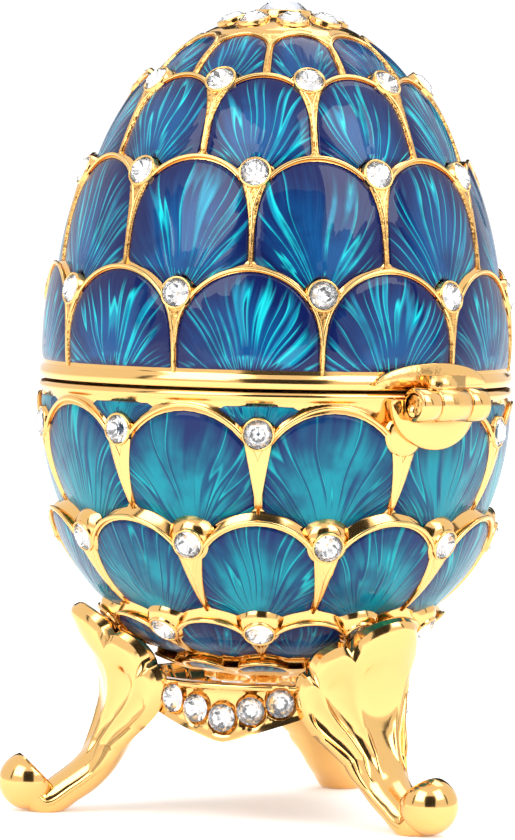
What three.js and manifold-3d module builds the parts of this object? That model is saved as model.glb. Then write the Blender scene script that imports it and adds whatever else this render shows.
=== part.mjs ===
// Jewelled egg trinket box: an enamelled cast-metal egg in two hinged halves, covered in
// overlapping upward-pointing scales with a crystal in every fork, cradled by a gilt
// three-legged stand. Millimetres, +Z up, feet on z = 0, hinge at the back (+Y).
import * as THREE from "three";
import { mergeVertices } from "three/addons/utils/BufferGeometryUtils.js";
import Module from "manifold-3d";

const wasm = await Module();
wasm.setup();

// Egg
const EGG_RADIUS = 20.3; // mean radius at the widest height
const WIDEST_Z = 35.5;
const EGG_RISE = 33.3; // widest height to crown of the mean surface
const EGG_DROP = 24; // widest height to the bottom of the mean surface
const BLUNTNESS = 2.2; // power of the lower half's outline, where 2 is an ellipse
const SEAM_Z = 37.25;
const SEAM_GAP = 0.3;
const WALL = 1.8;
const RIM_OUT = 0.1; // the plain rim bands stand this proud of the mean surface
const LINING_SIDES = 28;
const LINING_STEPS = 4; // steps from the widest height to either end
const CRADLE_GAP = 0.3; // between the highest relief and the leaves that hold the egg
const CRADLE_SIDES = 48;
const CRADLE_STEPS = 10;

// Scales: rows of ten, each row half a pitch round from the next
const SCALES = 10;
const PITCH = 360 / SCALES;
const COLUMNS_PER_SCALE = 6;
const ARCH_RATIO = 1.03; // arch height over half the scale's width
const STEP_WIDTH = 0.35; // run of the wall between a scale's edge and the row above
const BULGE = 0.12; // extra swell in the middle of a scale
const MID_SHARE = 0.55; // where that middle is, from foot to edge
const LID_PHASE = 60.8; // azimuth of a fork in the row nearest the seam
const BASE_PHASE = 46;
// top is the height of the arch tops; foot and edge are heights off the mean surface;
// a small scale is too short to show its swell
const LID_ROWS = [
  { top: 47.2, foot: -0.05, edge: 0.4 },
  { top: 56.4, foot: -0.15, edge: 0.5 },
  { top: 63.2, foot: -0.15, edge: 0.5, small: true },
  { top: 66.9, foot: -0.1, edge: 0.25, small: true },
];
const BASE_ROWS = [
  { top: 35.9, foot: -0.95, edge: 0.12 },
  { top: 26.4, foot: -0.6, edge: 0.35 },
  { top: 17.8, foot: -0.4, edge: 0.35, small: true },
  { top: 13.9, foot: -0.15, edge: 0.25, small: true },
];
const LID_BAND_Z = SEAM_Z + 1.2; // where the plain rim bands end
const BASE_BAND_Z = SEAM_Z - 0.8;
const CROWN_EDGE_Z = 68.1; // foot of the plain crown that carries the top jewel
const BASE_CAP_Z = 12.45; // where the lowest row ends
const BASE_FLAT_Z = 11.75; // edge of the flat under the egg

// Stones
const STONE = { girdle: 1.2, table: 0.75, height: 0.7, sides: 6 };
const LID_JEWELLED = 3; // rows of the lid with a stone in every fork
const BASE_JEWELLED = 2;
const STONE_LIFT = 0.15; // clearance between a stone and its seat
const STONE_ROOM = 1.45; // half the width of the fork where a stone sits
const FORK_BELOW_STONE = 1.2; // how much farther down the fork's bottom lies
const TOP_JEWEL = { girdle: 2.2, table: 1.3, height: 1.1, sides: 10 };
const CROWN = { count: 8, height: 68.05, out: 0.42 };

// Hinge
const HINGE_REACH = 22.2; // barrel axis from the egg's axis
const HINGE_Z = SEAM_Z - 1;
const BARREL_RADIUS = 1.45;
const BORE_RADIUS = 1.06;
const PIN_RADIUS = 0.95;
const BARREL_HALF = 3.75;
const MIDDLE_HALF = 1.65;
const KNUCKLE_GAP = 0.1;
const SLOT_RADIUS = 1.68; // room cut in the base leaf for the lid's knuckle
// span is half a leaf's width, in degrees round the egg
const BASE_LEAF = { span: 13, edge: SEAM_Z - 0.55, far: SEAM_Z - 4.8, inner: 0.25, outer: 0.85 };
const LID_LEAF = { span: 17, edge: SEAM_Z + 0.5, far: SEAM_Z + 2.4, inner: 0.3, outer: 0.85 };
const HINGE_AZIMUTH = 90;

// Stand: a leg is described in its own radial plane, by distance from the axis and height
const LEG_AZIMUTHS = [90, 210, 330];
const LEG_LINE = [
  [21.0, 2.4],
  [19.6, 0.88],
  [17.5, 2.1],
  [15.6, 3.6],
  [14.2, 5.7],
  [13.25, 8.4],
  [13.5, 11.2],
  [15.1, 14.2],
  [17.1, 17.9],
];
const LEG_HALF_THICK = [1.4, 1.5, 1.5, 1.6, 1.75, 1.9, 1.7, 1.2, 0.85];
const LEG_HALF_WIDTH = [2.0, 2.1, 2.2, 2.4, 3.0, 5.0, 7.2, 9.2, 12];
const LEG_STEPS = 11;
const NECK = 0.5; // share of the leg's length where the leaf starts to open
const LOBE_EDGES = [-1, -0.68, -0.36, 0.36, 0.68, 1];
const LOBE_CUTS = [2, 2, 4, 2, 2]; // columns in each lobe
const LEAF_DROP = 0.69; // how much shorter the leaf's outermost rays are
const LEAF_DROP_POWER = 1.5;
const NOTCH = 0.07; // depth of the notch between two lobes, as a share of the leaf
const SCOOP = 0.45; // depth of a lobe's hollow
const LEAF_WRAP = 4.5; // radius of the leaf's bend round the leg
const LEAF_THINNING = 0.7; // share of the thickness lost at the leaf's outer edges
// The foot ends in a ball cut flat where it curls back at the leg; flat is that face's distance from its middle
const BALL = { reach: 21.0, height: 2.6, radius: 2.5, flat: 1.2, across: 12, down: 6 };
const RING = { outer: 11.6, inner: 10.4, top: 12, side: 9.4, tip: 7, steps: 36 };
const APRON_HALF = 38; // half the pointed apron's width, in degrees
const APRON_STONES = { count: 5, spacing: 12.2, low: 9.1, rise: 0.68, lift: 0.12 };

// The origin is the centre of the footprint's box, so the egg's axis stands a little in front of it
const FRONT_REACH = 21.1;
const AXIS_Y = -(BALL.reach + BALL.radius - FRONT_REACH) / 2;

const gilt = new THREE.MeshStandardMaterial({ color: 0xe3b04b, metalness: 1, roughness: 0.2 });
const enamel = new THREE.MeshStandardMaterial({ color: 0x0f5f9c, metalness: 0.4, roughness: 0.15 });
const crystal = new THREE.MeshStandardMaterial({ color: 0xeef2f7, metalness: 0, roughness: 0.05 });

const rad = THREE.MathUtils.degToRad;
const lerp = THREE.MathUtils.lerp;
const lastOf = (list) => list[list.length - 1];

// Solids

function solidFrom(positions, triangles) {
  const make = (order) =>
    new wasm.Manifold(
      new wasm.Mesh({
        numProp: 3,
        vertProperties: new Float32Array(positions),
        triVerts: new Uint32Array(order),
      }),
    );
  const made = make(triangles);
  if (made.volume() > 0) return made;
  const turned = [];
  for (let i = 0; i < triangles.length; i += 3) {
    turned.push(triangles[i], triangles[i + 2], triangles[i + 1]);
  }
  return make(turned);
}

function solidFromGeometry(geometry) {
  geometry.deleteAttribute("normal");
  geometry.deleteAttribute("uv");
  const merged = mergeVertices(geometry, 1e-4);
  return solidFrom(merged.attributes.position.array, merged.index.array);
}

function geometryFrom(solid) {
  const mesh = solid.getMesh();
  const geometry = new THREE.BufferGeometry();
  geometry.setAttribute("position", new THREE.BufferAttribute(mesh.vertProperties, mesh.numProp));
  geometry.setIndex(new THREE.BufferAttribute(mesh.triVerts, 1));
  geometry.computeVertexNormals();
  return geometry;
}

// A closed body through a stack of loops with the same number of points. Each end is closed by a
// fan round the given centre point or, without one, by a strip that folds the loop flat.
function loft(loops, startCentre, endCentre) {
  const count = loops[0].length;
  const points = loops.flat();
  const triangles = [];
  for (let i = 0; i + 1 < loops.length; i += 1) {
    for (let j = 0; j < count; j += 1) {
      const a = i * count + j;
      const b = i * count + ((j + 1) % count);
      triangles.push(a, b, b + count, a, b + count, a + count);
    }
  }
  const closeEnd = (first, centre, turn) => {
    const face = (a, b, c) => triangles.push(...(turn ? [a, c, b] : [a, b, c]));
    if (centre) {
      points.push(centre);
      for (let j = 0; j < count; j += 1) face(first + j, points.length - 1, first + ((j + 1) % count));
      return;
    }
    for (let j = 0; j + 1 < count / 2; j += 1) {
      const k = count - 1 - j;
      face(first + j, first + k, first + k - 1);
      face(first + j, first + k - 1, first + j + 1);
    }
  };
  closeEnd(0, startCentre, false);
  closeEnd((loops.length - 1) * count, endCentre, true);
  return solidFrom(points.flatMap((p) => p.toArray()), triangles);
}

// Egg surface

// The outline in its own plane, as distance from the axis and height, a depth inside the surface.
// latitude is 0 at the widest height, 90 at the crown and -90 underneath.
function outline(latitude, depth) {
  const power = latitude < 0 ? 2 / BLUNTNESS : 1;
  const rise = latitude < 0 ? -EGG_DROP + depth : EGG_RISE - depth;
  const radius = (EGG_RADIUS - depth) * Math.abs(Math.cos(rad(latitude))) ** power;
  return new THREE.Vector2(radius, WIDEST_Z + rise * Math.abs(Math.sin(rad(latitude))) ** power);
}

function latitudeAt(height) {
  const up = height - WIDEST_Z;
  const share = up < 0 ? (-up / EGG_DROP) ** (BLUNTNESS / 2) : up / EGG_RISE;
  return Math.sign(up) * THREE.MathUtils.radToDeg(Math.asin(Math.min(1, share)));
}

function outlineNormal(latitude) {
  const near = THREE.MathUtils.clamp(latitude, -89.9, 89.9);
  const run = outline(near + 0.05, 0).sub(outline(near - 0.05, 0));
  return new THREE.Vector2(run.y, -run.x).normalize();
}

const around = (azimuth, radius, z) =>
  new THREE.Vector3(radius * Math.cos(rad(azimuth)), radius * Math.sin(rad(azimuth)), z);

function eggNormal(azimuth, latitude) {
  const normal = outlineNormal(latitude);
  return around(azimuth, normal.x, normal.y);
}

// A point at an azimuth and a latitude, a height off the mean surface
function eggPoint(azimuth, latitude, out) {
  const at = outline(latitude, 0).addScaledVector(outlineNormal(latitude), out);
  return around(azimuth, at.x, at.y);
}

const degreesFor = (length, latitude) =>
  length / outline(latitude + 0.5, 0).distanceTo(outline(latitude - 0.5, 0));

// Adds to each row its fork azimuth, its half width, its arch depth and where its stones sit
function layOut(rows, phase) {
  return rows.map((row, i) => {
    const apex = latitudeAt(row.top);
    const half = (Math.PI * outline(apex, 0).x) / SCALES;
    const arch = ARCH_RATIO * half;
    const stoneDrop = arch * (1 - Math.sqrt(1 - ((half - STONE_ROOM) / half) ** 2));
    return {
      ...row,
      apex,
      fork: phase + (i % 2) * (PITCH / 2),
      archDrop: degreesFor(arch, apex),
      forkDrop: degreesFor(Math.min(stoneDrop + FORK_BELOW_STONE, arch), apex),
      stoneLatitude: apex - degreesFor(stoneDrop, apex),
    };
  });
}

const lidRows = layOut(LID_ROWS, LID_PHASE);
const baseRows = layOut(BASE_ROWS, BASE_PHASE);

// Latitude of a row's scalloped upper edge
function archLatitude(row, azimuth) {
  const turn = (((azimuth - row.fork) / PITCH) % 1 + 1) % 1;
  const across = Math.min(1, Math.abs(2 * turn - 1));
  return row.apex - Math.min(row.forkDrop, row.archDrop * (1 - Math.sqrt(1 - across * across)));
}

const scaleOut = (row, share) => lerp(row.foot, row.edge, share) + 4 * BULGE * share * (1 - share);

function columnsFrom(phase) {
  const count = SCALES * COLUMNS_PER_SCALE;
  return Array.from({ length: count }, (_, i) => phase + (i * 360) / count);
}

// The loops of the rows of scales, from the lowest latitude up. lowest is the first row's foot.
function scaleLoops(rows, columns, lowest) {
  const loops = [];
  const rising = [...rows].sort((a, b) => a.apex - b.apex);
  rising.forEach((row, i) => {
    const footOf = (azimuth) =>
      i === 0
        ? lowest
        : archLatitude(rising[i - 1], azimuth) + degreesFor(STEP_WIDTH, rising[i - 1].apex);
    for (const share of row.small ? [0, 1] : [0, MID_SHARE, 1]) {
      loops.push(
        columns.map((azimuth) => {
          const latitude = lerp(footOf(azimuth), archLatitude(row, azimuth), share);
          return eggPoint(azimuth, latitude, scaleOut(row, share));
        }),
      );
    }
  });
  return loops;
}

const ringLoop = (columns, latitude, out) => columns.map((azimuth) => eggPoint(azimuth, latitude, out));

function rimLoop(columns, side) {
  const loop = ringLoop(columns, latitudeAt(SEAM_Z), RIM_OUT);
  return loop.map((p) => p.setZ(SEAM_Z + (side * SEAM_GAP) / 2));
}

// A plain egg of the same outline, a depth inside the mean surface
function plainEgg(depth, sides, steps) {
  const profile = [];
  for (let i = -steps; i <= steps; i += 1) profile.push(outline((i * 90) / steps, depth));
  profile[0].x = 0;
  lastOf(profile).x = 0;
  return solidFromGeometry(new THREE.LatheGeometry(profile, sides).rotateX(Math.PI / 2));
}

function lidShell() {
  const columns = columnsFrom(LID_PHASE);
  const crownFoot = (azimuth) => archLatitude(lastOf(lidRows), azimuth) + 1;
  const loops = [
    rimLoop(columns, 1),
    ringLoop(columns, latitudeAt(LID_BAND_Z), RIM_OUT),
    ...scaleLoops(lidRows, columns, latitudeAt(LID_BAND_Z + 0.2)),
    columns.map((azimuth) => eggPoint(azimuth, crownFoot(azimuth), 0.05)),
    ringLoop(columns, latitudeAt(CROWN_EDGE_Z), 0.1),
  ];
  const rimCentre = new THREE.Vector3(0, 0, SEAM_Z + SEAM_GAP / 2);
  return loft(loops, rimCentre, eggPoint(0, 90, 0.1)).subtract(plainEgg(WALL, LINING_SIDES, LINING_STEPS));
}

function baseShell() {
  const columns = columnsFrom(BASE_PHASE);
  const spandrel = (azimuth) => archLatitude(baseRows[0], azimuth) + degreesFor(STEP_WIDTH, 0);
  const loops = [
    ringLoop(columns, latitudeAt(BASE_FLAT_Z), 0),
    ringLoop(columns, latitudeAt(BASE_CAP_Z), 0),
    ...scaleLoops(baseRows, columns, latitudeAt(BASE_CAP_Z + 0.1)),
    columns.map((azimuth) => eggPoint(azimuth, spandrel(azimuth), -0.1)),
    ringLoop(columns, latitudeAt(BASE_BAND_Z), RIM_OUT),
    rimLoop(columns, -1),
  ];
  const flatCentre = new THREE.Vector3(0, 0, BASE_FLAT_Z);
  const rimCentre = new THREE.Vector3(0, 0, SEAM_Z - SEAM_GAP / 2);
  const plain = loft(loops, flatCentre, rimCentre).subtract(plainEgg(WALL, LINING_SIDES, LINING_STEPS));
  return stoneSites(baseRows, BASE_JEWELLED)
    .filter(({ row, azimuth }) => row !== 0 || !underHinge(azimuth))
    .reduce((shell, site) => shell.add(solidFromGeometry(seatedStone(site))), plain);
}

// Stones

function stoneGeometry({ girdle, table, height, sides }) {
  const geometry = new THREE.CylinderGeometry(table, girdle, height, sides);
  return geometry.rotateX(Math.PI / 2).translate(0, 0, height / 2);
}

const turnTo = (normal) => new THREE.Quaternion().setFromUnitVectors(new THREE.Vector3(0, 0, 1), normal);

function underHinge(azimuth) {
  const away = Math.abs(((azimuth - HINGE_AZIMUTH + 540) % 360) - 180);
  return away < BASE_LEAF.span;
}

// Where the stones sit: one in every fork of the rows nearest the seam
function stoneSites(rows, jewelled) {
  const sites = [];
  rows.slice(0, jewelled).forEach((row, i) => {
    for (let k = 0; k < SCALES; k += 1) {
      const azimuth = row.fork + k * PITCH;
      sites.push({ row: i, number: k + 1, azimuth, latitude: row.stoneLatitude, out: row.edge });
    }
  });
  return sites;
}

// A stone that is part of the shell's own body, sunk a little into its seat
function seatedStone({ azimuth, latitude, out }) {
  const sunk = { ...STONE, height: STONE.height + 0.6 };
  const geometry = stoneGeometry(sunk).applyQuaternion(turnTo(eggNormal(azimuth, latitude)));
  return geometry.translate(...eggPoint(azimuth, latitude, out - 0.45).toArray());
}

function stoneMesh(name, cut, position, normal) {
  const mesh = new THREE.Mesh(stoneGeometry(cut), crystal);
  mesh.name = name;
  mesh.position.copy(position);
  mesh.quaternion.copy(turnTo(normal));
  return mesh;
}

const twoDigits = (n) => String(n).padStart(2, "0");

function lidStones() {
  const stones = stoneSites(lidRows, LID_JEWELLED).map(({ row, number, azimuth, latitude, out }) =>
    stoneMesh(
      `lid_row_${row + 1}_stone_${twoDigits(number)}`,
      STONE,
      eggPoint(azimuth, latitude, out + STONE_LIFT),
      eggNormal(azimuth, latitude),
    ),
  );
  for (let k = 0; k < CROWN.count; k += 1) {
    const azimuth = LID_PHASE + (k * 360) / CROWN.count;
    const latitude = latitudeAt(CROWN.height);
    const seat = eggPoint(azimuth, latitude, CROWN.out);
    stones.push(stoneMesh(`crown_stone_${k + 1}`, STONE, seat, eggNormal(azimuth, latitude)));
  }
  const top = eggPoint(0, 90, 0.1 + STONE_LIFT);
  stones.push(stoneMesh("top_jewel", TOP_JEWEL, top, new THREE.Vector3(0, 0, 1)));
  return stones;
}

// Hinge

function barrel(radius, from, to, sides) {
  const geometry = new THREE.CylinderGeometry(radius, radius, to - from, sides);
  geometry.rotateZ(Math.PI / 2).translate((from + to) / 2, HINGE_REACH, HINGE_Z);
  return solidFromGeometry(geometry);
}

const BARREL_SIDES = 12;
const knuckle = (from, to) => barrel(BARREL_RADIUS, from, to, BARREL_SIDES);
const bore = () => barrel(BORE_RADIUS, -BARREL_HALF - 1, BARREL_HALF + 1, BARREL_SIDES);

function block(from, to) {
  const geometry = new THREE.BoxGeometry(to[0] - from[0], to[1] - from[1], to[2] - from[2]);
  geometry.translate((from[0] + to[0]) / 2, (from[1] + to[1]) / 2, (from[2] + to[2]) / 2);
  return solidFromGeometry(geometry);
}

// A plate bent to the egg, from a level edge at the seam to a half-round far edge
function leafPlate(leaf) {
  const { inner, outer } = leaf;
  const edge = latitudeAt(leaf.edge);
  const reach = latitudeAt(leaf.far) - edge;
  const steps = 8;
  const loops = [];
  for (let i = 0; i <= steps; i += 1) {
    const share = (2 * i) / steps - 1;
    const azimuth = HINGE_AZIMUTH + share * leaf.span;
    const far = edge + reach * Math.sqrt(Math.max(0.06, 1 - share * share));
    const middle = (edge + far) / 2;
    loops.push([
      eggPoint(azimuth, edge, inner),
      eggPoint(azimuth, middle, inner),
      eggPoint(azimuth, far, inner),
      eggPoint(azimuth, far, outer),
      eggPoint(azimuth, middle, outer),
      eggPoint(azimuth, edge, outer),
    ]);
  }
  return loft(loops);
}

function baseHingeLeaf() {
  const plate = leafPlate(BASE_LEAF);
  const inside = MIDDLE_HALF + KNUCKLE_GAP;
  const web = (from, to) =>
    block([from, EGG_RADIUS + BASE_LEAF.inner + 0.3, HINGE_Z - 1.2], [to, HINGE_REACH, HINGE_Z]);
  const slot = barrel(SLOT_RADIUS, -inside, inside, BARREL_SIDES);
  return plate
    .subtract(slot)
    .add(knuckle(-BARREL_HALF, -inside))
    .add(knuckle(inside, BARREL_HALF))
    .add(web(-BARREL_HALF, -inside))
    .add(web(inside, BARREL_HALF))
    .subtract(bore());
}

function lidHingeLeaf() {
  const plate = leafPlate(LID_LEAF);
  const tongue = block(
    [-MIDDLE_HALF, EGG_RADIUS + LID_LEAF.inner + 0.2, HINGE_Z + 0.6],
    [MIDDLE_HALF, HINGE_REACH + 0.4, SEAM_Z + 1.5],
  );
  return plate.add(tongue).add(knuckle(-MIDDLE_HALF, MIDDLE_HALF)).subtract(bore());
}

const hingePin = () => barrel(PIN_RADIUS, 0.1 - BARREL_HALF, BARREL_HALF - 0.1, BARREL_SIDES);

// Stand

const smoothRise = (x) => THREE.MathUtils.smoothstep(x, 0, 1);

function valueAlong(values, share) {
  const at = share * (values.length - 1);
  const i = Math.min(values.length - 2, Math.floor(at));
  return lerp(values[i], values[i + 1], at - i);
}

function lobeColumns() {
  const columns = [LOBE_EDGES[0]];
  for (let i = 0; i + 1 < LOBE_EDGES.length; i += 1) {
    for (let k = 1; k <= LOBE_CUTS[i]; k += 1) {
      columns.push(lerp(LOBE_EDGES[i], LOBE_EDGES[i + 1], k / LOBE_CUTS[i]));
    }
  }
  return columns;
}

// How far a column lies from the middle of its own lobe: 0 in the middle, 1 at either ridge
function fromLobeMiddle(across) {
  const i = LOBE_EDGES.findIndex((edge, k) => k > 0 && across <= edge + 1e-6);
  const middle = (LOBE_EDGES[i - 1] + LOBE_EDGES[i]) / 2;
  return Math.min(1, Math.abs(across - middle) / (LOBE_EDGES[i] - middle));
}

function rayLength(across) {
  const x = fromLobeMiddle(across);
  const envelope = 1 - LEAF_DROP * Math.abs(across) ** LEAF_DROP_POWER;
  return envelope - NOTCH * (1 - Math.sqrt(1 - x * x));
}

// A point on a leg's face or back. share runs from foot to leaf tip, across from edge to edge.
function legPoint(line, share, across, face) {
  const along = share <= NECK ? share : NECK + (share - NECK) * rayLength(across);
  const opened = smoothRise((along - NECK * 0.7) / (NECK * 0.5));
  const centre = line.getPoint(along);
  const tangent = line.getTangent(along);
  const outward = new THREE.Vector2(tangent.y, -tangent.x);
  const halfWidth = valueAlong(LEG_HALF_WIDTH, along);
  const halfThick = valueAlong(LEG_HALF_THICK, along);
  const side = halfWidth * lerp(Math.sin((across * Math.PI) / 2), across, opened);
  const crown = lerp(Math.max(0.15, Math.cos((across * Math.PI) / 2)), 1, opened);
  const scooped = SCOOP * opened * (1 - fromLobeMiddle(across) ** 2);
  const thick = 2 * halfThick * crown * (1 - LEAF_THINNING * opened * across * across);
  const setBack = (opened * side * side) / (2 * LEAF_WRAP);
  const lift = halfThick * crown - setBack - (face > 0 ? scooped : thick);
  return new THREE.Vector3(centre.x + outward.x * lift, side, centre.y + outward.y * lift);
}

function footBall() {
  const last = Math.asin(BALL.flat / BALL.radius);
  const profile = [];
  for (let i = 0; i <= BALL.down; i += 1) {
    const angle = lerp(-Math.PI / 2, last, i / BALL.down);
    profile.push(new THREE.Vector2(BALL.radius * Math.cos(angle), BALL.radius * Math.sin(angle)));
  }
  profile[0].x = 0;
  profile.push(new THREE.Vector2(0, BALL.flat));
  const ball = new THREE.LatheGeometry(profile, BALL.across);
  ball.rotateX(Math.PI / 2).rotateY(-Math.PI / 4);
  return solidFromGeometry(ball.translate(BALL.reach, 0, BALL.height));
}

function leg() {
  const line = new THREE.SplineCurve(LEG_LINE.map(([r, z]) => new THREE.Vector2(r, z)));
  const columns = lobeColumns();
  const loops = [];
  for (let i = 0; i < LEG_STEPS; i += 1) {
    const share = i / (LEG_STEPS - 1);
    loops.push([
      ...columns.map((across) => legPoint(line, share, across, 1)),
      ...[...columns].reverse().map((across) => legPoint(line, share, across, -1)),
    ]);
  }
  return loft(loops).add(footBall());
}

// The ring under the egg, with a pointed apron hanging between each two legs
function apronRing() {
  const loops = [];
  for (let i = 0; i < RING.steps; i += 1) {
    const azimuth = LEG_AZIMUTHS[0] + (i * 360) / RING.steps;
    const fromLeg = (i * 360) / RING.steps % 120;
    const fromTip = Math.min(1, Math.abs(fromLeg - 60) / APRON_HALF);
    const low = lerp(RING.tip, RING.side, fromTip);
    loops.push([
      around(azimuth, RING.outer, RING.top),
      around(azimuth, RING.outer, low),
      around(azimuth, RING.inner, low),
      around(azimuth, RING.inner, RING.top),
    ]);
  }
  const positions = loops.flat().flatMap((p) => p.toArray());
  const triangles = [];
  loops.forEach((_, i) => {
    for (let j = 0; j < 4; j += 1) {
      const a = i * 4 + j;
      const b = i * 4 + ((j + 1) % 4);
      const c = ((i + 1) % loops.length) * 4 + ((j + 1) % 4);
      const d = ((i + 1) % loops.length) * 4 + j;
      triangles.push(a, b, c, a, c, d);
    }
  });
  return solidFrom(positions, triangles);
}

function stand() {
  const below = block([-40, -40, -5], [40, 40, 0]);
  const highestRelief = Math.max(...BASE_ROWS.map((row) => row.edge));
  const oneLeg = leg();
  return LEG_AZIMUTHS.reduce((made, azimuth) => made.add(oneLeg.rotate([0, 0, azimuth])), apronRing())
    .subtract(plainEgg(-highestRelief - CRADLE_GAP, CRADLE_SIDES, CRADLE_STEPS))
    .subtract(below);
}

function apronStones() {
  const stones = [];
  LEG_AZIMUTHS.forEach((legAzimuth, panel) => {
    const middle = (APRON_STONES.count - 1) / 2;
    for (let k = 0; k < APRON_STONES.count; k += 1) {
      const azimuth = legAzimuth + 60 + (k - middle) * APRON_STONES.spacing;
      const normal = around(azimuth, 1, 0);
      const height = APRON_STONES.low + APRON_STONES.rise * Math.abs(k - middle);
      const seat = around(azimuth, RING.outer + APRON_STONES.lift, height);
      stones.push(stoneMesh(`apron_${panel + 1}_stone_${k + 1}`, STONE, seat, normal));
    }
  });
  return stones;
}

function solidMesh(name, solid, material) {
  const mesh = new THREE.Mesh(geometryFrom(solid), material);
  mesh.name = name;
  return mesh;
}

const trinketBox = new THREE.Group();
const lid = new THREE.Group();
const base = new THREE.Group();
lid.add(solidMesh("lid_shell", lidShell(), enamel));
lid.add(solidMesh("lid_hinge_leaf", lidHingeLeaf(), gilt));
lid.add(...lidStones());
base.add(solidMesh("base_shell", baseShell(), enamel));
base.add(solidMesh("base_hinge_leaf", baseHingeLeaf(), gilt));
base.add(solidMesh("hinge_pin", hingePin(), gilt));
base.add(solidMesh("stand", stand(), gilt));
base.add(...apronStones());
trinketBox.add(base, lid);
trinketBox.position.y = AXIS_Y;

export default trinketBox;
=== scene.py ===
import math

import bpy
import numpy as np
from mathutils import Matrix, Vector


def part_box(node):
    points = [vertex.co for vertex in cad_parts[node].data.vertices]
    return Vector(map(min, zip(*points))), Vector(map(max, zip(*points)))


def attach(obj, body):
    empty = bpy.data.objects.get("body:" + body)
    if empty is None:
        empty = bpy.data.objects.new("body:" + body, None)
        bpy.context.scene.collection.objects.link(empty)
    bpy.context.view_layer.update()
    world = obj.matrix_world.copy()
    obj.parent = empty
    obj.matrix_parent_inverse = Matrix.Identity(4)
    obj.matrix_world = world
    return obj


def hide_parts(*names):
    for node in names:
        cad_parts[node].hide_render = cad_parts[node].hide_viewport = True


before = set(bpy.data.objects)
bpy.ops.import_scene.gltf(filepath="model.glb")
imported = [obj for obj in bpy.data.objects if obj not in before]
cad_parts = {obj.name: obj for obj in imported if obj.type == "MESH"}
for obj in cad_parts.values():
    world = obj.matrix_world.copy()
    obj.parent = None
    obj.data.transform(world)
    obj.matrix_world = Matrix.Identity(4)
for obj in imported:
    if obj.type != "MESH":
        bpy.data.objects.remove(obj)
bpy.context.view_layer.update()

# The egg's axis in the row frame, in millimetres. All shapes below are built round that axis, in millimetres.
jewel_low, jewel_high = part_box("top_jewel")
AXIS_Y = 500 * (jewel_low.y + jewel_high.y)

EGG_RADIUS, WIDEST_Z, EGG_RISE, EGG_DROP, BLUNTNESS = 20.3, 35.5, 33.3, 24.0, 2.2
SEAM_Z, SEAM_GAP, WALL, RIM_OUT = 37.25, 0.3, 1.8, 0.1
SCALES, HALF_PITCH = 10, 18.0
ARCH_RATIO, BULGE, STEP_WIDTH = 1.03, 0.12, 0.3
STONE_RADIUS, STONE_ROOM = 1.2, 1.45
LID_PHASE, BASE_PHASE = 60.8, 46.0
LID_BAND_Z, BASE_BAND_Z = SEAM_Z + 1.2, SEAM_Z - 0.8
BASE_CAP_Z, BASE_FLAT_Z = 12.45, 11.75
CROWN_STONES, CROWN_Z, CROWN_OUT = 8, 68.05, 0.5
TOP_JEWEL_Z, TOP_JEWEL_RADIUS = 69.25, 2.2
UNDER_STONES, UNDER_RING = 8, 4.3
HINGE_REACH, HINGE_Z, HINGE_AZIMUTH = 22.2, SEAM_Z - 1, 90.0

rng = np.random.default_rng(7)


# Egg surface, on arrays of azimuths and latitudes in degrees


def around(azimuth, radius, z):
    a = np.radians(azimuth)
    return np.stack(np.broadcast_arrays(radius * np.cos(a), radius * np.sin(a), z), -1)


def outline(latitude, depth=0.0):
    lat = np.radians(np.asarray(latitude, float))
    power = np.where(lat < 0, 2 / BLUNTNESS, 1.0)
    rise = np.where(lat < 0, depth - EGG_DROP, EGG_RISE - depth)
    radius = (EGG_RADIUS - depth) * np.abs(np.cos(lat)) ** power
    return radius, WIDEST_Z + rise * np.abs(np.sin(lat)) ** power


def latitude_at(height):
    up = height - WIDEST_Z
    share = (-up / EGG_DROP) ** (BLUNTNESS / 2) if up < 0 else up / EGG_RISE
    return math.copysign(math.degrees(math.asin(min(1.0, share))), up)


def outline_normal(latitude):
    near = np.clip(latitude, -89.9, 89.9)
    r1, z1 = outline(near + 0.05)
    r0, z0 = outline(near - 0.05)
    run = np.hypot(r1 - r0, z1 - z0)
    return (z1 - z0) / run, (r0 - r1) / run


def egg_point(azimuth, latitude, out):
    r, z = outline(latitude)
    nr, nz = outline_normal(latitude)
    return around(azimuth, r + nr * out, z + nz * out)


def egg_normal(azimuth, latitude):
    nr, nz = outline_normal(latitude)
    return around(azimuth, nr, nz)


def per_degree(latitude):
    r1, z1 = outline(latitude + 0.5)
    r0, z0 = outline(latitude - 0.5)
    return float(np.hypot(r1 - r0, z1 - z0))


class Row:
    """A ring of ten scales. foot and edge are heights off the mean surface at a scale's bottom and arch."""

    def __init__(self, top, foot, edge, fork, jewelled, flat=False):
        self.apex, self.foot, self.edge = latitude_at(top), foot, edge
        self.fork, self.jewelled, self.flat, self.below = fork, jewelled, flat, None
        self.step = per_degree(self.apex)
        self.half = math.pi * float(outline(self.apex)[0]) / SCALES
        arch = ARCH_RATIO * self.half
        drop = arch * (1 - math.sqrt(1 - ((self.half - STONE_ROOM) / self.half) ** 2))
        self.arch = arch / self.step
        self.fork_drop = min(drop + 0.3, arch) / self.step
        self.stone = self.apex - drop / self.step
        self.spring = self.apex - self.arch

    def centre(self, k):
        return self.fork + HALF_PITCH + 2 * HALF_PITCH * k

    def forks(self):
        return [self.fork + 2 * HALF_PITCH * k for k in range(SCALES)]

    def upper(self, x, drop=None):
        """Latitude of the arch at x, from -1 at one fork to 1 at the next."""
        deep = self.arch * (1 - np.sqrt(np.clip(1 - x * x, 0, 1)))
        return self.apex - np.minimum(deep, self.fork_drop if drop is None else drop)

    def lower(self, x):
        if self.below is None:
            return np.full(np.shape(x), self.floor)
        return self.below.upper(1 - np.abs(x)) + STEP_WIDTH / self.below.step

    def level(self, x, latitude):
        """Height of the scale's surface off the mean egg."""
        low, high = self.lower(x), self.upper(x)
        q = np.clip((latitude - low) / np.maximum(high - low, 1e-3), 0, 1)
        return self.foot + (self.edge - self.foot) * q + 4 * BULGE * q * (1 - q)


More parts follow.
